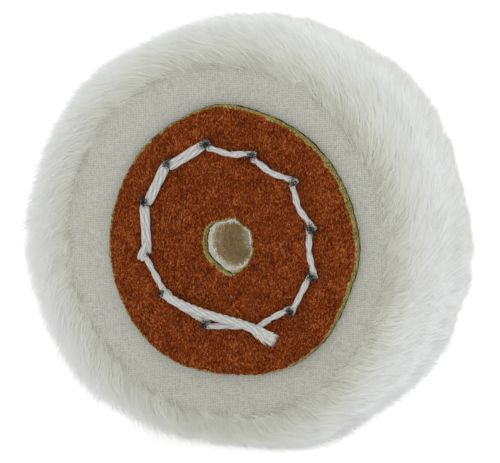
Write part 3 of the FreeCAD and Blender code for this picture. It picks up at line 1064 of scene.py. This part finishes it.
def mouth_lint(side, material, count=1700):
    """The white fray of the cloth that lines the spindle hole at a leather disc."""
    source = rng(76 + side)
    angle = source.uniform(0, FULL_TURN, count)
    raised = 1.4 * np.clip(np.cos(angle - 0.3), 0, 1)
    y = side * (abs(STACK_FRONT) + (source.uniform(-1.3, 0.4, count) + raised) * MM)
    edge = hole_radius(angle, side)
    degrees = np.degrees(angle)
    shaggy = 0.85 + 0.9 * bell(degrees, 262, 30) + 0.9 * bell(degrees, 190, 17)
    shaggy = shaggy * (1 + 0.25 * np.sin(5 * angle + 1) + 0.2 * np.sin(11 * angle))
    reach = source.gamma(3.0, 0.17, count) * shaggy * MM
    sweep = source.normal(0.3, 0.9, count) * MM / BORE_RADIUS
    root = on_face(angle, edge + 0.15 * MM, y - side * 0.3 * MM)
    middle = on_face(angle + 0.5 * sweep, edge - 0.6 * reach, y + side * 0.15 * MM)
    tip = on_face(angle + sweep, edge - reach, y + side * source.uniform(-0.5, 0.6, count) * MM)
    facing = normalised(-on_face(angle, 1.0, -0.6 * side) + source.normal(0, 0.3, (count, 3)))
    tone = np.clip(source.normal(0.34, 0.2, count), 0, 1)
    piece = lay_fibres(f"mouth_lint_{FACE_NAME[side]}", material, [root, middle, tip], facing,
                       source.uniform(0.04, 0.08, count) * MM, tone, softness=0.6)


def hole_tufts(side, material, seed):
    """Dark fibres that stand out of the stitch holes and lie over the ends of the stitches."""
    source = rng(seed)
    places, widths, tones = [], [], []
    for angle, radius in STITCH_HOLES:
        count = int(source.integers(60, 110))
        a = math.radians(angle)
        out = np.array([math.cos(a), 0, math.sin(a)])
        along = np.array([-math.sin(a), 0, math.cos(a)])
        centre = out * (radius + 0.1) * MM + np.array([0, side * TUFT_LEVEL, 0])
        scatter = source.normal(0, 0.45, (count, 1)) * out + source.normal(0, 0.5, (count, 1)) * along
        root = centre + scatter * MM
        way = source.normal(0.3, 0.75, (count, 1)) * out + source.normal(0, 0.6, (count, 1)) * along
        rise = np.array([0, side, 0]) * source.uniform(0.9, 1.7, (count, 1))
        tip = root + (way * source.uniform(0.7, 1.4, (count, 1)) + 0.8 * rise) * MM
        middle = root + (0.4 * way + rise) * MM
        places.append([root, middle, tip])
        widths.append(source.uniform(0.04, 0.075, count) * MM)
        tones.append(np.clip(source.normal(0.45, 0.3, count), 0, 1))
    tone = np.concatenate(tones)
    facing = np.tile((0.0, float(side), 0.0), (len(tone), 1))
    piece = lay_fibres(f"hole_tufts_{FACE_NAME[side]}", material, np.concatenate(places, axis=1), facing,
                       np.concatenate(widths), tone, softness=0.4)


def frayed_end(material, line):
    """The tail's cut end, come apart into single threads."""
    source = rng(91)
    count = 420
    ahead = normalised(line[-1] - line[-8])
    up = np.array([0.0, -1.0, 0.0])
    across = np.cross(ahead, up)
    each = (count, 1)
    root = (line[-1] - ahead * source.uniform(0.6, 3.6, each) * MM
            + across * source.uniform(-1.0, 1.0, each) * MM + up * source.uniform(-0.7, 0.7, each) * MM)
    fan = ((root - line[-1]) @ across)[:, None] * 0.55
    tip = (root + ahead * source.uniform(1.2, 3.2, each) * MM
           + across * (fan + source.normal(0, 0.25, each) * MM) + up * source.normal(0, 0.25, each) * MM)
    middle = (root + tip) / 2 + up * source.normal(0.1, 0.15, each) * MM
    facing = normalised(np.tile(up, (count, 1)) + source.normal(0, 0.4, (count, 3)))
    tone = np.clip(source.normal(0.22, 0.12, count), 0, 1)
    piece = lay_fibres("frayed_end", material, [root, middle, tip], facing,
                       source.uniform(0.06, 0.12, count) * MM, tone, softness=0.4)
    return piece


# ---------------------------------------------------------------- camera, light and floor

def studio():
    """The camera, the lamps, and pale air that lights from everywhere and looks white."""
    scene = bpy.context.scene
    scene.view_settings.view_transform = "Standard"
    azimuth, elevation, distance = math.radians(23.5), math.radians(6.8), 0.7
    back = Vector((math.sin(azimuth) * math.cos(elevation), -math.cos(azimuth) * math.cos(elevation),
                   math.sin(elevation)))
    turn = (-back).to_track_quat("-Z", "Y")
    target = turn @ Vector((0.12 * MM, 1.44 * MM, 0))
    lens = bpy.data.cameras.new("camera")
    lens.lens, lens.sensor_width = 218, 36
    lens.clip_start, lens.clip_end = 0.01, 20
    camera = bpy.data.objects.new("camera", lens)
    camera.location = target + back * distance
    camera.rotation_mode = "QUATERNION"
    camera.rotation_quaternion = turn
    scene.collection.objects.link(camera)
    scene.camera = camera

    for name, way, spread, strength in LAMPS:
        light = bpy.data.lights.new(name, "SUN")
        light.angle, light.energy = math.radians(spread), strength
        lamp = bpy.data.objects.new(name, light)
        lamp.rotation_mode = "QUATERNION"
        lamp.rotation_quaternion = Vector(way).to_track_quat("Z", "Y")
        scene.collection.objects.link(lamp)

    world = bpy.data.worlds.new("studio_air")
    world.use_nodes = True
    n = Nodes(world.node_tree)
    seen = n.add("ShaderNodeLightPath").outputs["Is Camera Ray"]
    air = n.add("ShaderNodeBackground", {"Color": (0.99, 0.995, 1.0, 1), "Strength": 0.66})
    wall = n.add("ShaderNodeBackground", {"Color": (1, 1, 1, 1), "Strength": 1.0})
    both = n.add("ShaderNodeMixShader", {0: seen, 1: air.outputs[0], 2: wall.outputs[0]})
    output = n.add("ShaderNodeOutputWorld")
    n.tree.links.new(both.outputs[0], output.inputs["Surface"])
    scene.world = world


def floor(height):
    """The white surface that the wheel stands on. It glows a little, so that it looks as white as the air."""
    bm = bmesh.new()
    bmesh.ops.create_circle(bm, cap_ends=True, segments=96, radius=4.0)
    bmesh.ops.translate(bm, verts=bm.verts, vec=(0, 0, height))
    mesh = bpy.data.meshes.new("floor")
    bm.to_mesh(mesh)
    bm.free()
    obj = bpy.data.objects.new("floor", mesh)
    bpy.context.scene.collection.objects.link(obj)
    material, n = new_material("pale_floor")
    seen = n.add("ShaderNodeLightPath").outputs["Is Camera Ray"]
    glow = n.mix(seen, (0.34, 0.34, 0.34), (1.0, 1.0, 1.0))
    n.finish((0.82, 0.82, 0.82, 1), roughness=0.9, **{"Emission Color": glow, "Emission Strength": 0.55})
    mesh.materials.append(material)


studio()
twine, fluff = twine_material(), fluff_material()
sewn_twine(twine, fluff)
knot_stub(twine)
loose_tail(twine, fluff)
suede = suede_material()
leather_disc("leather_disc_front", -1, suede, 51)
leather_disc("leather_disc_rear", 1, suede, 61)
nap = nap_material()
suede_nap("leather_disc_front", -1, nap, 81)
suede_nap("leather_disc_rear", 1, nap, 82)
dark = tuft_material()
hole_tufts(-1, dark, 83)
hole_tufts(1, dark, 84)
lint = lint_material()
bore_lint(lint)
mouth_lint(-1, fluff)
mouth_lint(1, fluff)
cloth_plies(fluff)
floor(FLOOR_LEVEL)
